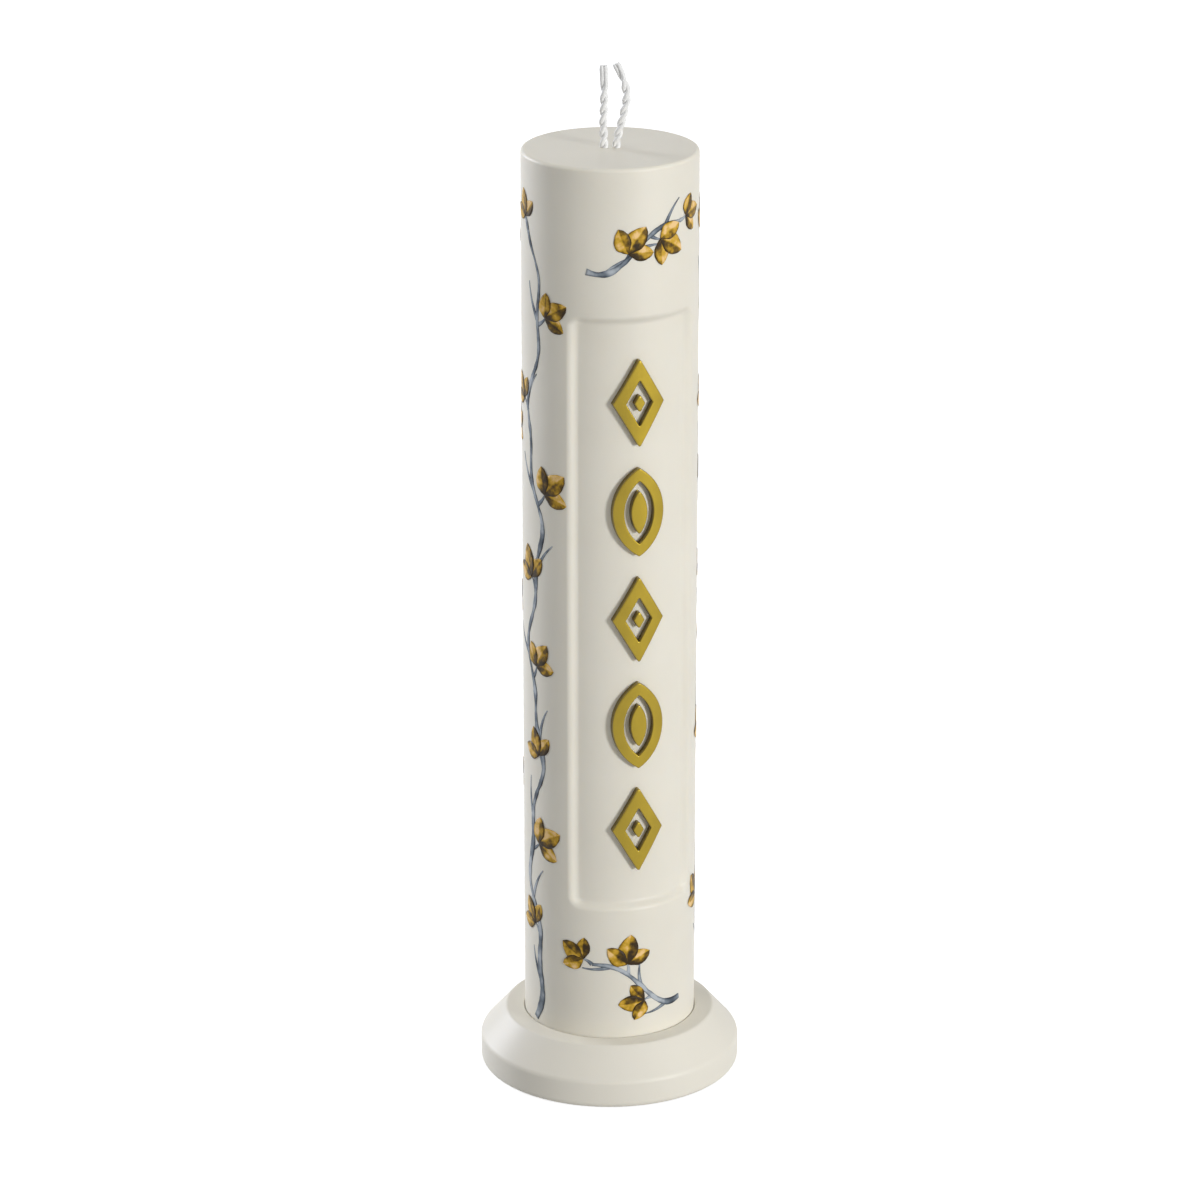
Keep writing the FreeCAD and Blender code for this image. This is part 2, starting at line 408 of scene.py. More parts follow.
def makeWaxPillar():
    over = pillar["wallOverrun"] + pillar["fineStep"]
    mouth = pillar["panelAngle"] / 2 + math.degrees(over / waxRadius)
    floor = pillar["panelAngle"] / 2 - math.degrees((pillar["wallSides"] + over) / waxRadius)
    fineTurn = math.degrees(pillar["fineStep"] / waxRadius)
    turns = spacedLines(-180, 180, ((-mouth, -floor), (floor, mouth)), pillar["coarseTurn"], fineTurn)
    turn = np.radians(turns[:-1])
    ends = pillar["wallEnds"]
    busy = ((panelLow - over, panelLow + ends + over), (panelHigh - ends - over, panelHigh + over))
    foot = waxLow.z + pillar["footRound"] + pillar["plainEdge"]
    top = waxHigh.z - pillar["topRound"] - pillar["plainEdge"]
    wall = [(waxRadius, z) for z in spacedLines(foot, top, busy, pillar["wideStep"], pillar["fineStep"])]
    pocket, ceiling = pillar["pocketRadius"], waxLow.z + pillar["pocketDepth"]
    footProfile = softProfile([
        (pillar["footRing"], ceiling, 0), (pocket, ceiling, pillar["pocketRound"]),
        (pocket, waxLow.z, pillar["pocketLip"]), (waxRadius, waxLow.z, pillar["footRound"]),
        (waxRadius, foot, 0)])
    wideRing, lastRing = pillar["topRings"]
    topProfile = softProfile([
        (waxRadius, top, 0), (waxRadius, waxHigh.z, pillar["topRound"]), (wideRing, waxHigh.z, 0)],
        pillar["topSteps"])
    profile = footProfile[:-1] + wall + topProfile[1:] + [Vector((lastRing, waxHigh.z))]
    return skin("waxPillar", [ringAt(turn, r - panelDepthAt(turn, z), z) for r, z in profile], "poles")


waxFinish = makeFinish("ivoryWax", {**ivory, **pillar})
dress(makeWaxPillar(), waxFinish, "ivory_wax", "candle", "candle_body")
print("wax pillar with its sunk panel made")


# base and felt

dish = {
    "sideHeight": 7.9,
    "slopeRun": 7.2,
    "socketPlay": 0.15,         # between the pillar and its socket
    "recessMargin": 4.0,        # from the base's edge to the felt's recess
    "footRound": 1.7,
    "shoulderRound": 2.2,
    "lipRound": 1.1,
    "mouthRound": 0.4,
    "tightRound": 0.2,
    "innerRing": 3.0,           # radius of the last ring, above and below
    "lowColour": (0.80, 0.766, 0.675),
    "highColour": (0.825, 0.792, 0.70),
    "smooth": 0.42,
    "rough": 0.52,
    "glow": 0.12,
}
felt = {
    "edgeRound": 0.25,
    "edgeSteps": 5,
    "driftScale": 240,
    "lowColour": (0.20, 0.185, 0.16),
    "highColour": (0.30, 0.28, 0.245),
    "grainScale": 2200,
    "grainDepth": 0.12,
    "smooth": 0.9,
    "rough": 1.0,
    "sheen": 0.25,
    "sheenRoughness": 0.6,
}


def makeDishBase():
    tight, ring = dish["tightRound"], dish["innerRing"]
    side = dishHigh.x
    socket = waxRadius + dish["socketPlay"]
    recess = side - dish["recessMargin"]
    return lathe("dishBase", softProfile([
        (ring, feltHigh.z, 0), (recess, feltHigh.z, tight), (recess, dishLow.z, tight),
        (side, dishLow.z, dish["footRound"]), (side, dishLow.z + dish["sideHeight"], dish["shoulderRound"]),
        (side - dish["slopeRun"], dishHigh.z, dish["lipRound"]), (socket, dishHigh.z, dish["mouthRound"]),
        (socket, waxLow.z, tight), (ring, waxLow.z, 0)]))


def makeFeltPad():
    side, edge, ring = feltHigh.x, felt["edgeRound"], dish["innerRing"]
    return lathe("feltPad", softProfile([
        (ring, feltLow.z, 0), (side, feltLow.z, edge), (side, feltHigh.z, edge), (ring, feltHigh.z, 0)],
        felt["edgeSteps"]))


dress(makeDishBase(), makeFinish("ivoryGlaze", {**ivory, **dish}), "base_ceramic", "base", "base")
dress(makeFeltPad(), makeFinish("pressedFelt", felt), "pad_felt", "base", "felt_pad")
print("base and felt made")


# sustainer: the CAD node stays, and only its finish is new

tinplate = {
    "metal": 1.0,
    "driftScale": 300,
    "lowColour": (0.55, 0.55, 0.56),
    "highColour": (0.68, 0.68, 0.69),
    "grainScale": 900,
    "grainStretch": (1, 6, 1),
    "grainDepth": 0.006,
    "smooth": 0.28,
    "rough": 0.42,
}
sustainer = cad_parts["wick_sustainer"]
sustainer.data.materials.clear()
sustainer.data.materials.append(makeFinish("tinplate", tinplate))


# gilt ornaments: a stud inside an open frame, bent to the panel

gilding = {
    "frameBand": 3.0,
    "studGap": 1.9,
    "lozengeStudWidth": 3.1,
    "lozengeLean": 60.0,
    "flameStudWidth": 4.6,
    "flameArcOffset": 7.25,
    "glue": 0.1,
    "thickness": 2.0,
    "edgeRound": 0.28,
    "edgeHold": 0.08,           # from the rounded edge to the ring beside it
    "cornerRound": 0.45,
    "innerCorner": 0.6,         # rounding of a frame's opening, as a share of the outside's
    "outlineSteps": 18,         # on each side of an outline
    "bevelSteps": 5,
    "bandSteps": 6,
    "studMiddle": 0.04,         # size of a stud's last ring, as a share of its outline
    "driftScale": 160,
    "lowColour": (0.2632, 0.18706, 0.012596),
    "highColour": (0.2968, 0.21094, 0.014204),
    "grainScale": 1500,
    "grainStretch": (1, 1, 0.06),
    "grainDepth": 0.004,
    "smooth": 0.36,
    "rough": 0.44,
    "metal": 1.0,
    "coat": 0.35,
    "coatRoughness": 0.2,
    "coatRefraction": 1.6,
}
plateBack = waxRadius - pillar["panelDepth"] + gilding["glue"]
plateFront = plateBack + gilding["thickness"]


def lozengeOutline(grown, rounding):
    # four straight sides with rounded corners, from the right-hand corner and counter-clockwise
    lean = math.radians(gilding["lozengeLean"])
    halfWidth = gilding["lozengeStudWidth"] / 2 + grown / math.sin(lean)
    halfHeight = halfWidth * math.tan(lean)
    corners = [(halfWidth, 0), (0, halfHeight), (-halfWidth, 0), (0, -halfHeight)]
    steps = gilding["outlineSteps"]
    line = []
    for i in range(4):
        before, corner, after, beyond = [Vector(corners[(i + k) % 4]) for k in (-1, 0, 1, 2)]
        wayOut, arc = roundCorner(before, corner, after, rounding, gilding["bevelSteps"])[2:]
        nextTurn = wayOut.angle((beyond - after).normalized())
        run = after - wayOut * rounding * math.tan(nextTurn / 2) - arc[-1]
        line += arc + [arc[-1] + run * (k / steps) for k in range(1, steps)]
    return line


def flameOutline(grown, rounding):
    # two arcs that meet in a rounded point above and below, from the right-hand side and counter-clockwise
    offset = gilding["flameArcOffset"]
    radius = offset + gilding["flameStudWidth"] / 2 + grown
    tip = math.sqrt((radius - rounding) ** 2 - offset ** 2)
    lean = math.atan2(tip, offset)
    steps, tipSteps = 2 * gilding["outlineSteps"], gilding["bevelSteps"]
    sideTurns = [lean * k / steps for k in range(steps)]
    tipTurns = [lean + (math.pi / 2 - lean) * k / tipSteps for k in range(tipSteps + 1)]
    upper = [(radius * math.cos(turn) - offset, radius * math.sin(turn)) for turn in sideTurns]
    upper += [(rounding * math.cos(turn), tip + rounding * math.sin(turn)) for turn in tipTurns]
    upper += [(-x, z) for x, z in upper[-2::-1]]
    return [Vector(point) for point in upper + [(x, -z) for x, z in upper[-2:0:-1]]]


def makePlate(name, outline, z, inner, outer):
    # inner is None for a stud. Both edges are rounded in front, and the back lies on the glue
    rounding, hold = gilding["edgeRound"], gilding["edgeHold"]
    edge = [(0, plateBack), (0, plateFront - rounding - hold)]
    for step in range(gilding["bevelSteps"] + 1):
        part = math.pi / 2 * step / gilding["bevelSteps"]
        edge.append((rounding * (1 - math.cos(part)), plateFront - rounding * (1 - math.sin(part))))
    edge.append((rounding + hold, plateFront))

    def bent(points, reach):
        # the outline keeps its width, and its depth follows the round of the panel
        return [(x, -math.sqrt(reach * reach - x * x), z + height) for x, height in points]

    def between(start, end, reach):
        steps = gilding["bandSteps"]
        return [([a.lerp(b, k / steps) for a, b in zip(start, end)], reach) for k in range(1, steps)]

    corner = gilding["cornerRound"]
    outside = [(outline(outer - inset, corner), reach) for inset, reach in edge]
    if inner is None:
        share = gilding["studMiddle"]
        middle = [Vector((share * x, share * y)) for x, y in outside[0][0]]
        front = between(outside[-1][0], middle, plateFront)
        back = between(middle, outside[0][0], plateBack)
        return skin(name, [bent(*ring) for ring in back + outside + front], "poles")
    corner *= gilding["innerCorner"]
    inside = [(outline(inner + inset, corner + inset), reach) for inset, reach in edge]
    front = between(outside[-1][0], inside[-1][0], plateFront)
    back = between(inside[0][0], outside[0][0], plateBack)
    return skin(name, [bent(*ring) for ring in outside + front + inside[::-1] + back], "loop")


def makeOrnaments():
    finish = makeFinish("satinGilt", gilding)
    outlines = {"lozenge": lozengeOutline, "flame": flameOutline}
    full = gilding["studGap"] + gilding["frameBand"]
    for node in sorted(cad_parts):
        kind, _, rest = node.partition("_")
        if kind not in outlines:
            continue
        part, number = rest.split("_")
        low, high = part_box(node)
        inner, outer = (gilding["studGap"], full) if part == "frame" else (None, 0)
        middle = (low.z + high.z) / 2 / mm
        plate = makePlate(kind + part.title() + number, outlines[kind], middle, inner, outer)
        dress(plate, finish, "gilt", "candle", node)


makeOrnaments()
print("gilt ornaments made")


# wicks

wicks = {
    "pitch": 3.3,               # between the two wicks
    "turn": -19.3,              # of the pair, about the pillar
    "strandRadius": 0.64,
    "strandOffset": 0.52,
    "strandSides": 16,
    "twistPitch": 6.2,
    "twistEase": 5.0,           # how slowly the twist runs out
    "leftSmoothTip": 6.1,
    "rightSmoothTip": 4.6,
    "tipSpread": 0.95,          # how far apart the strands still lie at the tip
    "tipWidth": 0.8,
    "tipTaper": 0.9,            # length over which the strands narrow to it
    "step": 0.35,
    "footGap": 0.7,             # from the pillar's foot to the wicks' ends, inside the sustainer
    "uprightPoints": 60,        # as close as the route's, so the curve doesn't overshoot
    "lobes": 5.0,
    "lobeDepth": 0.05,
    # how far out and up from where a wick leaves the wax, as the camera sees them
    "leftRoute": ((0, 2.5), (-0.15, 6.7), (0.0, 11.0), (0.1, 15.5), (0.05, 19.0), (-0.1, 22.3)),
    "rightRoute": (
        (0.3, 2.5), (1.15, 5.9), (2.2, 10.4), (2.75, 14.0), (2.25, 17.4), (1.0, 20.6), (-0.1, 22.8)),
    "driftScale": 700,
    "lowColour": (0.80, 0.80, 0.79),
    "highColour": (0.88, 0.88, 0.875),
    "grainScale": 5200,
    "grainStretch": (1, 1, 0.22),
    "grainDepth": 0.03,
    "smooth": 0.55,
    "rough": 0.75,
    "sheen": 0.10,
    "sheenRoughness": 0.5,
    "glow": 0.10,
    "glowColour": (1.0, 0.97, 0.93),
    "glowReach": 0.3,
}


def makeWickTree():
    tree, given, result = newTree(
        "twistedWick", "GeometryNodeTree",
        {**geometryOnly, "Int": ["Strand Sides"], "Material": ["Material"], "Float": [
            "Strand Radius", "Strand Offset", "Twist Pitch", "Twist Ease", "Smooth Tip", "Tip Spread",
            "Tip Width", "Tip Taper", "Step", "Lobes", "Lobe Depth"]})
    line = addCurves(tree, given, given["Step"])
    strands = put(tree, "GeometryNodeDuplicateElements", {"Geometry": line, "Amount": 2}, domain="SPLINE")

    place = put(tree, "GeometryNodeSplineParameter").outputs
    whole = out(tree, "GeometryNodeSplineLength")
    toTip = calc(tree, "SUBTRACT", whole, place["Length"])
    twistEnd = calc(tree, "SUBTRACT", whole, given["Smooth Tip"])
    twisted = calc(tree, "SMOOTH_MIN", place["Length"], twistEnd, given["Twist Ease"])
    turn = times(tree, calc(tree, "DIVIDE", twisted, given["Twist Pitch"]), math.tau)
    angle = plus(tree, turn, times(tree, strands.outputs["Duplicate Index"], math.pi))

    normal = out(tree, "GeometryNodeInputNormal")
    tangent = out(tree, "GeometryNodeInputTangent")
    sideways = vectorCalc(tree, "CROSS_PRODUCT", tangent, normal)
    around = vectorCalc(
        tree, "ADD", scaled(tree, normal, calc(tree, "COSINE", angle)),
        scaled(tree, sideways, calc(tree, "SINE", angle)))
    closing = remap(tree, toTip, (0, given["Smooth Tip"]), (given["Tip Spread"], 1))
    wound = out(tree, "GeometryNodeSetPosition", {
        "Geometry": strands.outputs["Geometry"],
        "Offset": scaled(tree, around, times(tree, given["Strand Offset"], closing))})
    wound = out(tree, "GeometryNodeSetCurveTilt", {"Curve": wound, "Tilt": times(tree, turn, -1)})

    ring = put(tree, "GeometryNodeCurvePrimitiveCircle", {
        "Resolution": given["Strand Sides"], "Radius": given["Strand Radius"]})
    spot = times(tree, out(tree, "GeometryNodeSplineParameter"), math.tau)
    wave = calc(tree, "COSINE", times(tree, spot, given["Lobes"]))
    swell = plus(tree, times(tree, wave, given["Lobe Depth"]), 1)
    outward = scaled(tree, out(tree, "GeometryNodeInputPosition"), swell)
    lobed = out(tree, "GeometryNodeSetPosition", {"Geometry": ring.outputs["Curve"], "Position": outward})
    taper = remap(
        tree, toTip, (0, given["Tip Taper"]), (given["Tip Width"], 1), interpolation_type="SMOOTHERSTEP")
    body = out(tree, "GeometryNodeCurveToMesh", {
        "Curve": wound, "Profile Curve": lobed, "Scale": taper, "Fill Caps": True})
    return closeTree(tree, body, given, result)


def makeWicks():
    tree = makeWickTree()
    finish = makeFinish("waxedCotton", wicks)
    turn = math.radians(wicks["turn"])
    heights = np.linspace(waxLow.z + wicks["footGap"], waxHigh.z, wicks["uprightPoints"])
    upright = [(0, height - waxHigh.z) for height in heights]
    for side, name in ((-1, "left"), (1, "right")):
        path = []
        for across, up in upright + list(wicks[name + "Route"]):
            sideways = side * wicks["pitch"] / 2 + across
            path.append((sideways * math.cos(turn), sideways * math.sin(turn), waxHigh.z + up))
        wick = grow("wick" + name.title(), [path], tree, {
            **lengths(
                wicks, "Strand Radius", "Strand Offset", "Twist Pitch", "Twist Ease", "Tip Taper", "Step"),
            "Smooth Tip": wicks[name + "SmoothTip"] * mm, "Tip Spread": wicks["tipSpread"],
            "Tip Width": wicks["tipWidth"], "Strand Sides": wicks["strandSides"],
            "Lobes": wicks["lobes"], "Lobe Depth": wicks["lobeDepth"], "Material": finish})
        wick.data.shade_smooth()
        dress(wick, finish, "wick_cotton", "candle", "wick_" + name)


makeWicks()
print("wicks made")


# printed sprigs on the wax, drawn flat (arc across, height up) and bent round the pillar

sprigs = {
    "vineAngles": (-78, 78, -129, 129, 180),
    "low": 17.5,
    "high": 246.0,
    "lowShift": 7,              # from one vine's foot to the next
    "highShift": 5,
    "stagger": 15.0,            # the most that an end is shifted
    "sway": 3.0,
    "swayWaves": 3.6,
    "swayShift": 1.9,           # from one vine to the next, in radians
    "wander": 1.1,              # a second, quicker sway
    "wanderWaves": 2.7,         # for each wave of the sway
    "pathStep": 4.0,
    # two short sprays across the middle line: start and end of each, as arc and height
    "sprays": (((14.5, 25.0), (-13.0, 38.5)), ((-14.5, 238.0), (13.0, 250.0))),
    "sprayBow": 3.2,
    "sprayCalm": 0.4,           # share of the bow that is gone at the end
    "spraySteps": 10,
    "twigsFrom": 0.02,          # share of a stem that is bare at its start
    "tipFrom": 0.999,           # share past which a point is its tip
    "gap": 0.02,
    "thickness": 0.03,
    "seed": 7,
    "turnJitter": 0.22,         # of a twig, in radians
    "sizeJitter": 0.12,
}
vineSizes = {
    "stemWidth": 2.7,
    "spacing": 24.0,            # between leafy twigs
    "lean": 40.0,               # of a twig from its stem
    "twigLength": 4.6,
    "twigWidth": 1.35,
    "shootLength": 11.0,        # bare shoots between the leafy twigs
    "leafLength": 8.4,
    "leafWidth": 5.4,
}
spraySizes = {
    "stemWidth": 2.5,
    "spacing": 10.4,
    "lean": 46.0,
    "twigLength": 3.2,
    "twigWidth": 1.2,
    "shootLength": 7.5,
    "leafLength": 7.8,
    "leafWidth": 5.2,
}
# the inputs that the stems' and the leaves' trees share
sprigInputs = {**geometryOnly, "Int": ["Seed"], "Material": ["Material"]}
sprigSizes = ["Radius", "Gap", "Spacing", "Lean", "Twig Length"]


def makeWrapTree():
    # bends flat work round the pillar: across becomes arc, and off the sheet becomes off the wax
    tree, given, result = newTree(
        "wrapRound", "GeometryNodeTree", {**geometryOnly, "Float": ["Radius", "Gap"]})
    flat = put(tree, "ShaderNodeSeparateXYZ", {0: out(tree, "GeometryNodeInputPosition")}).outputs
    turn = calc(tree, "DIVIDE", flat["X"], given["Radius"])
    reach = plus(tree, given["Radius"], given["Gap"], flat["Z"])
    bent = combine(
        tree, X=times(tree, reach, calc(tree, "SINE", turn)),
        Y=times(tree, reach, calc(tree, "COSINE", turn), -1), Z=flat["Y"])
    moved = out(tree, "GeometryNodeSetPosition", {"Geometry": given["Geometry"], "Position": bent})
    tree.links.new(moved, result["Geometry"])
    return tree


def makePlacesTree():
    # where twigs leave a stem: its points, which of them carry a twig, and each twig's turn and size.
    # Twigs lean to alternate sides, and the one at the tip goes straight on
    tree, given, result = newTree(
        "twigPlaces", "GeometryNodeTree",
        {**geometryOnly, "Float": ["Spacing", "Lean"], "Int": ["Every", "Seed"]},
        {**geometryOnly, "Bool": ["Chosen"], "Rotation": ["Rotation"], "Float": ["Scale"]})
    line = addCurves(tree, given, given["Spacing"])
    place = put(tree, "GeometryNodeSplineParameter").outputs
    tangent = out(tree, "GeometryNodeInputTangent")
    count = calc(tree, "FLOOR", calc(tree, "DIVIDE", place["Index"], given["Every"]))
    side = calc(tree, "SUBTRACT", times(tree, calc(tree, "MODULO", count, 2), 2), 1)
    isTip = calc(tree, "GREATER_THAN", place["Factor"], sprigs["tipFrom"])
    last = calc(tree, "SUBTRACT", given["Every"], 1)
    inTurn = calc(tree, "COMPARE", calc(tree, "MODULO", place["Index"], given["Every"]), last, 0.1)
    offStart = calc(tree, "GREATER_THAN", place["Factor"], sprigs["twigsFrom"])
    lean = times(tree, given["Lean"], side, calc(tree, "SUBTRACT", 1, isTip))
    turning, sizing = sprigs["turnJitter"], sprigs["sizeJitter"]
    jitter = put(tree, "FunctionNodeRandomValue", {
        2: -turning, 3: turning, "Seed": given["Seed"]}).outputs[1]
    size = put(tree, "FunctionNodeRandomValue", {
        2: 1 - sizing, 3: 1 + sizing, "Seed": plus(tree, given["Seed"], 1)}).outputs[1]
    heading = out(tree, "FunctionNodeAlignRotationToVector", {"Vector": tangent}, axis="Y", pivot_axis="Z")
    leaned = out(tree, "FunctionNodeEulerToRotation", {"Euler": combine(tree, Z=plus(tree, lean, jitter))})
    turned = out(tree, "FunctionNodeRotateRotation", {
        "Rotation": heading, "Rotate By": leaned}, rotation_space="LOCAL")
    tree.links.new(line, result["Geometry"])
    tree.links.new(times(tree, inTurn, offStart), result["Chosen"])
    tree.links.new(turned, result["Rotation"])
    tree.links.new(size, result["Scale"])
    return tree


def addAlong(tree, given, places, instance, every, spacing, lean):
    # puts the instance at each chosen place along the stems
    spots = put(tree, "GeometryNodeGroup", {
        "Geometry": given["Geometry"], "Spacing": spacing, "Every": every, "Lean": lean,
        "Seed": given["Seed"]}, node_tree=places).outputs
    placed = out(tree, "GeometryNodeInstanceOnPoints", {
        "Points": spots["Geometry"], "Selection": spots["Chosen"], "Instance": instance,
        "Rotation": spots["Rotation"], "Scale": spots["Scale"]})
    return out(tree, "GeometryNodeRealizeInstances", {"Geometry": placed})


def shapedBy(tree, value, points):
    # a smooth curve through the points, from 0 to 1
    node = put(tree, "ShaderNodeFloatCurve", {"Value": value})
    curve = node.mapping.curves[0]
    curve.points[0].location, curve.points[-1].location = points[0], points[-1]
    for x, y in points[1:-1]:
        curve.points.new(x, y)
    node.mapping.update()
    return node.outputs[0]


strokes = {
    "stemStep": 0.7,
    "stemTaper": ((0, 1), (0.4, 0.8), (0.9, 0.58), (1, 0.5)),
    "swellScale": 150,
    "swellSpan": (0.35, 0.65),  # of the noise, which becomes a share of the stem's width
    "swell": (0.5, 1),
    "ribbonPoints": 5,
    "twigSteps": 12,
    "twigFoot": 1.1,            # share of its width where it starts, and what is gone at its end
    "twigThinning": 0.85,
    "bowPlace": 0.55,           # along it and sideways, as shares of its length
    "twigBow": 0.16,
    "shootBow": -0.12,
    "shootLean": -0.72,         # as a share of a twig's lean
    "twigUnder": 0.006,         # how far it lies under the stem, which covers where it starts
    "shootUnder": 0.012,
}


def addTwigs(tree, given, places, kind, every, spacing, lean):
    # bowed twigs or shoots along the stem, each with its width stored for the ribbon
    length = given[kind.title() + " Length"]
    bow, under = times(tree, length, strokes[kind + "Bow"]), -strokes[kind + "Under"] * mm
    middle = combine(tree, X=bow, Y=times(tree, length, strokes["bowPlace"]), Z=under)
    twig = out(tree, "GeometryNodeCurveQuadraticBezier", {
        "Resolution": strokes["twigSteps"], "Start": (0, 0, under), "Middle": middle,
        "End": combine(tree, Y=length, Z=under)})
    thinning = times(tree, out(tree, "GeometryNodeSplineParameter"), -strokes["twigThinning"])
    widths = times(tree, plus(tree, thinning, strokes["twigFoot"]), given["Twig Width"])
    return addAlong(tree, given, places, storeValue(tree, twig, "stemWidth", widths), every, spacing, lean)


def makeStemTree(wrap, places):
    tree, given, result = newTree(
        "printedStem", "GeometryNodeTree",
        {**sprigInputs, "Float": sprigSizes + ["Stem Width", "Twig Width", "Shoot Length"]})
    vine = addCurves(tree, given, strokes["stemStep"] * mm)
    along = out(tree, "GeometryNodeSplineParameter")
    taper = shapedBy(tree, along, strokes["stemTaper"])
    uneven = out(tree, "ShaderNodeTexNoise", {"Scale": strokes["swellScale"]})
    swell = remap(tree, uneven, strokes["swellSpan"], strokes["swell"])
    vine = storeValue(tree, vine, "stemWidth", times(tree, taper, swell, given["Stem Width"]))
    twigs = addTwigs(tree, given, places, "twig", 1, given["Spacing"], given["Lean"])
    # at half the spacing every second place lies between two twigs
    shoots = addTwigs(
        tree, given, places, "shoot", 2, times(tree, given["Spacing"], 0.5),
        times(tree, given["Lean"], strokes["shootLean"]))
    drawn = tree.nodes.new("GeometryNodeJoinGeometry")
    for part in (vine, twigs, shoots):
        tree.links.new(part, drawn.inputs[0])

    upright = out(tree, "GeometryNodeSetCurveNormal", {"Curve": drawn.outputs[0]}, mode="Z_UP")
    band = out(tree, "GeometryNodeCurvePrimitiveLine", {"Start": (-0.5, 0, 0), "End": (0.5, 0, 0)})
    band = out(tree, "GeometryNodeResampleCurve", {"Curve": band, "Count": strokes["ribbonPoints"]})
    across = out(tree, "GeometryNodeSplineParameter")
    ribbon = out(tree, "GeometryNodeCurveToMesh", {
        "Curve": upright, "Profile Curve": storeValue(tree, band, "stemAcross", across),
        "Scale": out(tree, "GeometryNodeInputNamedAttribute", {"Name": "stemWidth"})})
    return closeTree(tree, ribbon, given, result, wrap)


blades = {
    "columns": 7,
    "rows": 17,
    "outline": ((0, 0.05), (0.16, 0.55), (0.45, 1.0), (0.8, 0.66), (0.93, 0.3), (1, 0.0)),
    "bow": 0.45,                # sideways at the tip, as a share of half the width
    "fanAngle": 56.0,           # between the blades of a group
    "outerLoss": 0.16,          # how much smaller the outer ones are
    "layer": 0.04,              # from one blade to the one over it
    "start": 0.9,               # on the twig, as a share of its length
}


def makeLeafTree(wrap, places):
    tree, given, result = newTree(
        "printedLeaves", "GeometryNodeTree",
        {**sprigInputs, "Float": sprigSizes + ["Leaf Length", "Leaf Width", "Fan Angle"]})
    blade = out(tree, "GeometryNodeMeshGrid", {
        "Vertices X": blades["columns"], "Vertices Y": blades["rows"]})
    flat = put(tree, "ShaderNodeSeparateXYZ", {0: out(tree, "GeometryNodeInputPosition")}).outputs
    across = times(tree, flat["X"], 2)
    along = plus(tree, flat["Y"], 0.5)
    blade = storeValue(tree, blade, "bladeAcross", across)
    blade = storeValue(tree, blade, "bladeAlong", along)
    outline = shapedBy(tree, along, blades["outline"])
    halfWidth = times(tree, given["Leaf Width"], 0.5)
    bow = times(tree, along, along, times(tree, halfWidth, blades["bow"]))
    shaped = combine(
        tree, X=plus(tree, times(tree, across, outline, halfWidth), bow),
        Y=times(tree, along, given["Leaf Length"]))
    blade = out(tree, "GeometryNodeSetPosition", {"Geometry": blade, "Position": shaped})

    # three blades fan out near the end of a twig, one over the other
    fan = out(tree, "GeometryNodePoints", {"Count": 3})
    number = calc(tree, "SUBTRACT", out(tree, "GeometryNodeInputIndex"), 1)
    lift = combine(tree, Z=times(tree, plus(tree, number, 1), blades["layer"] * mm))
    swing = combine(tree, Z=times(tree, number, given["Fan Angle"]))
    loss = times(tree, calc(tree, "ABSOLUTE", number), blades["outerLoss"])
    group = out(tree, "GeometryNodeInstanceOnPoints", {
        "Points": out(tree, "GeometryNodeSetPosition", {"Geometry": fan, "Offset": lift}),
        "Rotation": out(tree, "FunctionNodeEulerToRotation", {"Euler": swing}),
        "Instance": blade, "Scale": calc(tree, "SUBTRACT", 1, loss)})
    reach = combine(tree, Y=times(tree, given["Twig Length"], blades["start"]), Z=blades["layer"] * mm)
    group = out(tree, "GeometryNodeTransform", {"Geometry": group, "Translation": reach})
    placed = addAlong(tree, given, places, group, 1, given["Spacing"], given["Lean"])
    return closeTree(tree, placed, given, result, wrap)


def ramp(tree, value, stops):
    node = put(tree, "ShaderNodeValToRGB", {"Fac": value})
    band = node.color_ramp
    band.elements[0].position, band.elements[-1].position = stops[0][0], stops[-1][0]
    band.elements[0].color, band.elements[-1].color = (*stops[0][1], 1), (*stops[-1][1], 1)
    for place, colour in stops[1:-1]:
        band.elements.new(place).color = (*colour, 1)
    return node.outputs["Color"]


def readAttribute(tree, name):
    return put(tree, "ShaderNodeAttribute", attribute_name=name).outputs["Fac"]


paint = {
    "shine": 0.2,
    "grainScale": 2600,
    "grainDepth": 0.003,
}


def addWash(tree, look):
    # the pooling of thin paint, as a change of tone
    cloud = addNoise(tree, look["washScale"], look["washDetail"])
    return times(tree, calc(tree, "SUBTRACT", cloud, 0.5), look["washDepth"])


def makePrint(name, look, addTones):
    # addTones gives the changes of tone that the drawing makes
    material, tree, sockets = newMaterial(name, look)
    tone = plus(tree, addTones(tree), look["middleTone"])
    tree.links.new(ramp(tree, tone, look["colours"]), sockets["Base Color"])
    addGrain(tree, sockets, look)
    return material


slate = {
    **paint,
    "edgePower": 2,
    "edgeTone": -0.34,
    "washScale": 170,
    "washDetail": 3,
    "washDepth": 2.0,
    "middleTone": 0.62,
    "colours": (
        (0.08, (0.030, 0.038, 0.050)), (0.32, (0.090, 0.112, 0.140)), (0.54, (0.20, 0.235, 0.275)),
        (0.82, (0.48, 0.52, 0.56))),
    "smooth": 0.42,
    "rough": 0.55,
}


def stemTones(tree):
    # slate watercolour: dark along both edges, washed out in the middle
    centred = calc(tree, "SUBTRACT", times(tree, readAttribute(tree, "stemAcross"), 2), 1)
    edge = calc(tree, "POWER", calc(tree, "ABSOLUTE", centred), slate["edgePower"])
    return plus(tree, times(tree, edge, slate["edgeTone"]), addWash(tree, slate))


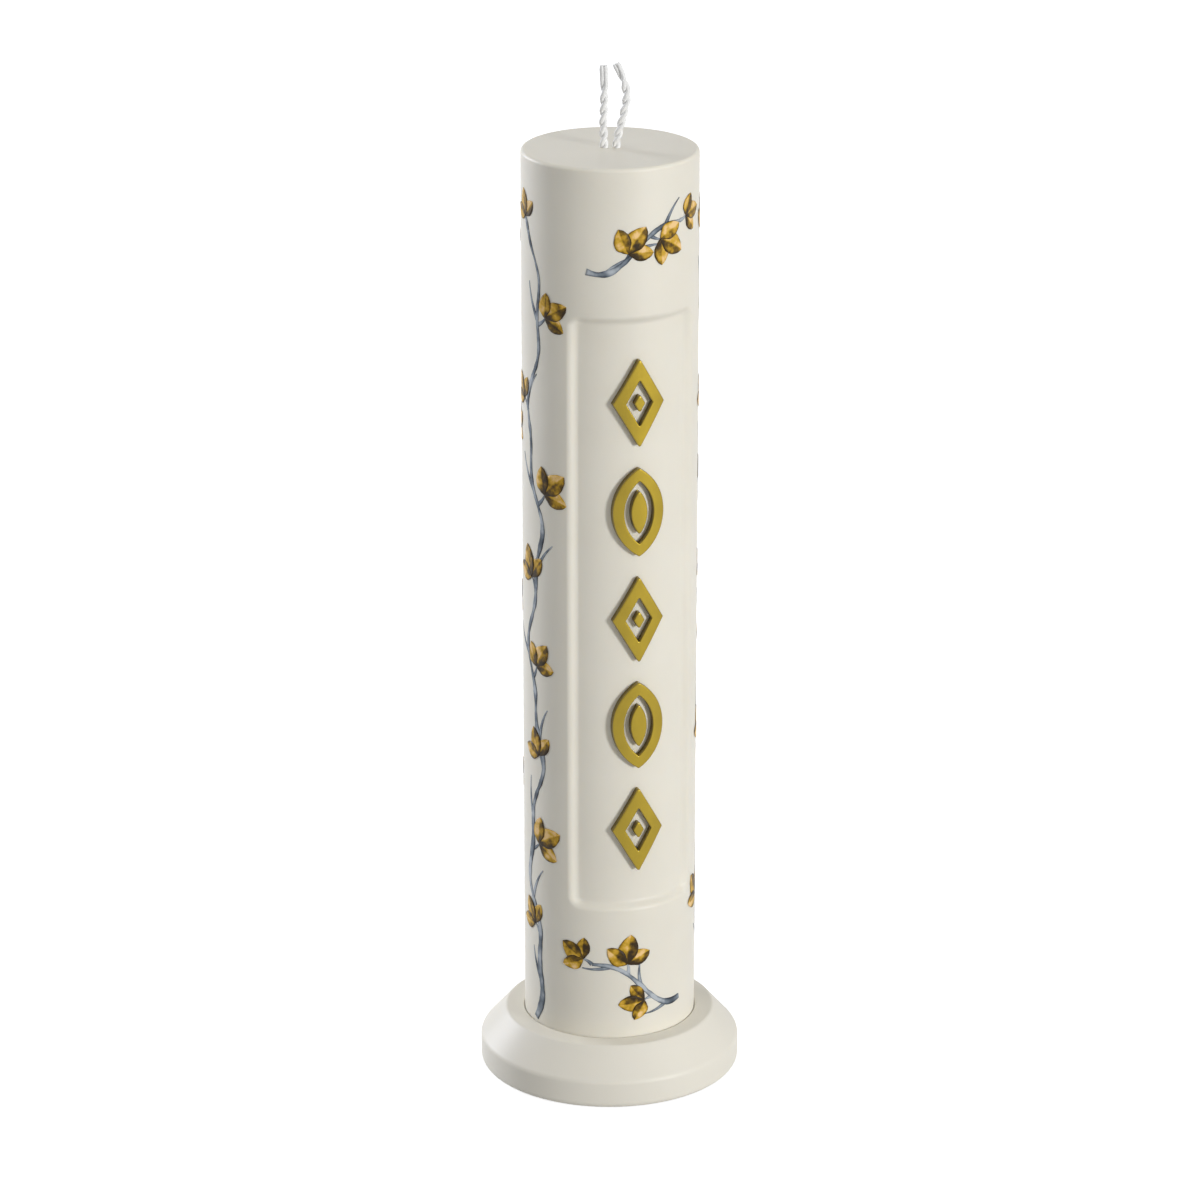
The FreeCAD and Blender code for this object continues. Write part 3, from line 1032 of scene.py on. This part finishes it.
gold = {
    **paint,
    "halfSpan": (-0.12, 0.16),  # where on its width a blade turns from light to dark
    "halfTones": (0.18, -0.15),
    "rimPower": 5,
    "rimTone": -0.34,
    "footPower": 3,
    "footTone": -0.5,
    "washScale": 330,
    "washDetail": 4,
    "washDepth": 1.9,
    "middleTone": 0.55,
    "colours": (
        (0.08, (0.030, 0.016, 0.002)), (0.30, (0.15, 0.085, 0.006)), (0.47, (0.45, 0.26, 0.016)),
        (0.64, (0.66, 0.40, 0.045)), (0.86, (0.88, 0.60, 0.27))),
    "smooth": 0.40,
    "rough": 0.52,
}


def leafTones(tree):
    # painted gold: dark at the foot and rim, and light on one half of each blade
    across, along = readAttribute(tree, "bladeAcross"), readAttribute(tree, "bladeAlong")
    half = remap(tree, across, gold["halfSpan"], gold["halfTones"], interpolation_type="SMOOTHSTEP")
    rim = calc(tree, "POWER", calc(tree, "ABSOLUTE", across), gold["rimPower"])
    foot = calc(tree, "POWER", calc(tree, "SUBTRACT", 1, along), gold["footPower"])
    darker = plus(tree, times(tree, rim, gold["rimTone"]), times(tree, foot, gold["footTone"]))
    return plus(tree, addWash(tree, gold), half, darker)


def vinePaths():
    # a wandering stem up the wax at each angle, with its ends staggered
    paths = []
    steps = int((sprigs["high"] - sprigs["low"]) / sprigs["pathStep"])
    for number, angle in enumerate(sprigs["vineAngles"]):
        middle = waxRadius * math.radians(angle)
        low = sprigs["low"] + number * sprigs["lowShift"] % sprigs["stagger"]
        high = sprigs["high"] - number * sprigs["highShift"] % sprigs["stagger"]
        path = []
        for step in range(steps + 1):
            wave = math.tau * sprigs["swayWaves"] * step / steps + sprigs["swayShift"] * number
            wander = sprigs["wander"] * math.sin(sprigs["wanderWaves"] * wave + number)
            across = middle + (sprigs["sway"] * math.sin(wave) + wander)
            path.append((across, low + (high - low) * step / steps, 0))
        paths.append(path)
    return paths


def sprayPaths():
    # each one runs from its start to its end in a shallow wave
    paths = []
    for start, end in sprigs["sprays"]:
        path = []
        for step in range(sprigs["spraySteps"] + 1):
            part = step / sprigs["spraySteps"]
            bow = sprigs["sprayBow"] * math.sin(math.tau * part) * (1 - sprigs["sprayCalm"] * part)
            across, up = [a + (b - a) * part for a, b in zip(start, end)]
            path.append((across, up - bow, 0))
        paths.append(path)
    return paths


def makeSprigs():
    wrap, places = makeWrapTree(), makePlacesTree()
    stemTree, leafTree = makeStemTree(wrap, places), makeLeafTree(wrap, places)
    stems, leaves = makePrint("slatePrint", slate, stemTones), makePrint("goldPrint", gold, leafTones)
    for label, paths, sizes in (("Vine", vinePaths(), vineSizes), ("Spray", sprayPaths(), spraySizes)):
        values = {
            **lengths(
                sizes, "Spacing", "Stem Width", "Twig Length", "Twig Width", "Shoot Length", "Leaf Length",
                "Leaf Width"),
            "Radius": waxRadius * mm, "Gap": sprigs["gap"] * mm, "Lean": math.radians(sizes["lean"]),
            "Fan Angle": math.radians(blades["fanAngle"]), "Seed": sprigs["seed"]}
        for part, tree, finish, slotName in (
                ("Stems", stemTree, stems, "print_stem"), ("Leaves", leafTree, leaves, "print_gold")):
            piece = grow(
                "printed" + part + label, paths, tree, {**values, "Material": finish}, sprigs["thickness"])
            piece.data.shade_smooth()
            dress(piece, finish, slotName, "candle")


makeSprigs()
print("printed sprigs made")


# studio

studio = {
    "cameraPlace": (-0.4071, -1.1625, 0.5725),
    "cameraTilt": 70.56,
    "cameraTurn": -19.175,
    "lens": 141.91,
    "lampAim": (0, 0, 0.14),
    "lampDistance": 3.0,
    # azimuth round the candle, elevation, size, what it gives a white wall that faces it, and colour
    "lamps": {
        "key": (28, 9, 0.5, 0.59, (1, 1, 1)),
        "rim": (-143, 13, 1.2, 0.54, (0.97, 1, 1.1)),
        "top": (-60, 84, 1.6, 0.16, (1, 1, 1)),
    },
    "skyLight": 0.355,
    "floorSize": 8.0,
    "floorDrop": 0.0003,
    "floorColour": 0.5,
    "floorGlow": 0.86,          # what the camera sees of the floor before its own shading
}


def addLamp(name, azimuth, elevation, size, level, colour):
    lamp = bpy.data.lights.new(name, "AREA")
    lamp.shape = "DISK"
    lamp.size = size
    lamp.color = colour
    lamp.energy = level * (math.pi * studio["lampDistance"]) ** 2
    holder = addObject(name, lamp)
    around, up = math.radians(azimuth), math.radians(elevation)
    back = Vector((math.sin(around) * math.cos(up), -math.cos(around) * math.cos(up), math.sin(up)))
    holder.location = Vector(studio["lampAim"]) + back * studio["lampDistance"]
    holder.rotation_mode = "QUATERNION"
    holder.rotation_quaternion = (-back).to_track_quat("-Z", "Y")
    holder.visible_camera = False


def isSeen(tree):
    # 1 for camera, glossy and transmission rays
    path = tree.nodes.new("ShaderNodeLightPath").outputs
    seen = calc(tree, "MAXIMUM", path["Is Camera Ray"], path["Is Glossy Ray"])
    return calc(tree, "MAXIMUM", seen, path["Is Transmission Ray"])


def makeWorld():
    world = bpy.data.worlds.new("studio")
    bpy.context.scene.world = world
    world.use_nodes = True
    tree = world.node_tree
    level = remap(tree, isSeen(tree), (0, 1), (studio["skyLight"], 1))
    background = tree.nodes["Background"]
    background.inputs["Color"].default_value = (1, 1, 1, 1)
    tree.links.new(level, background.inputs["Strength"])


def makeFloor():
    half, down = studio["floorSize"] / 2, -studio["floorDrop"]
    mesh = bpy.data.meshes.new("floor")
    mesh.from_pydata(
        [(x, y, down) for x, y in ((-half, -half), (half, -half), (half, half), (-half, half))], [],
        [(0, 1, 2, 3)])
    floor = addObject("floor", mesh)
    material = bpy.data.materials.new("floorWhite")
    material.use_nodes = True
    tree = material.node_tree
    tree.nodes.clear()
    shade, glow = studio["floorColour"], studio["floorGlow"]
    plain = out(tree, "ShaderNodeBsdfDiffuse", {"Color": (shade, shade, shade, 1)})
    glowing = out(tree, "ShaderNodeEmission", {"Color": (1, 1, 1, 1), "Strength": glow})
    lit = out(tree, "ShaderNodeAddShader", {0: plain, 1: glowing})
    facing = out(tree, "ShaderNodeMixShader", {0: isSeen(tree), 1: plain, 2: lit})
    clear = out(tree, "ShaderNodeBsdfTransparent")
    under = tree.nodes.new("ShaderNodeNewGeometry").outputs["Backfacing"]
    both = out(tree, "ShaderNodeMixShader", {0: under, 1: facing, 2: clear})
    output = tree.nodes.new("ShaderNodeOutputMaterial")
    tree.links.new(both, output.inputs["Surface"])
    mesh.materials.append(material)


def makeCamera():
    camera = addObject("camera", bpy.data.cameras.new("camera"))
    camera.data.lens = studio["lens"]
    camera.location = studio["cameraPlace"]
    camera.rotation_euler = (math.radians(studio["cameraTilt"]), 0, math.radians(studio["cameraTurn"]))
    bpy.context.scene.camera = camera


makeCamera()
makeWorld()
makeFloor()
for lampName, values in studio["lamps"].items():
    addLamp(lampName, *values)
bpy.context.scene.view_settings.view_transform = "Standard"
print("studio made")
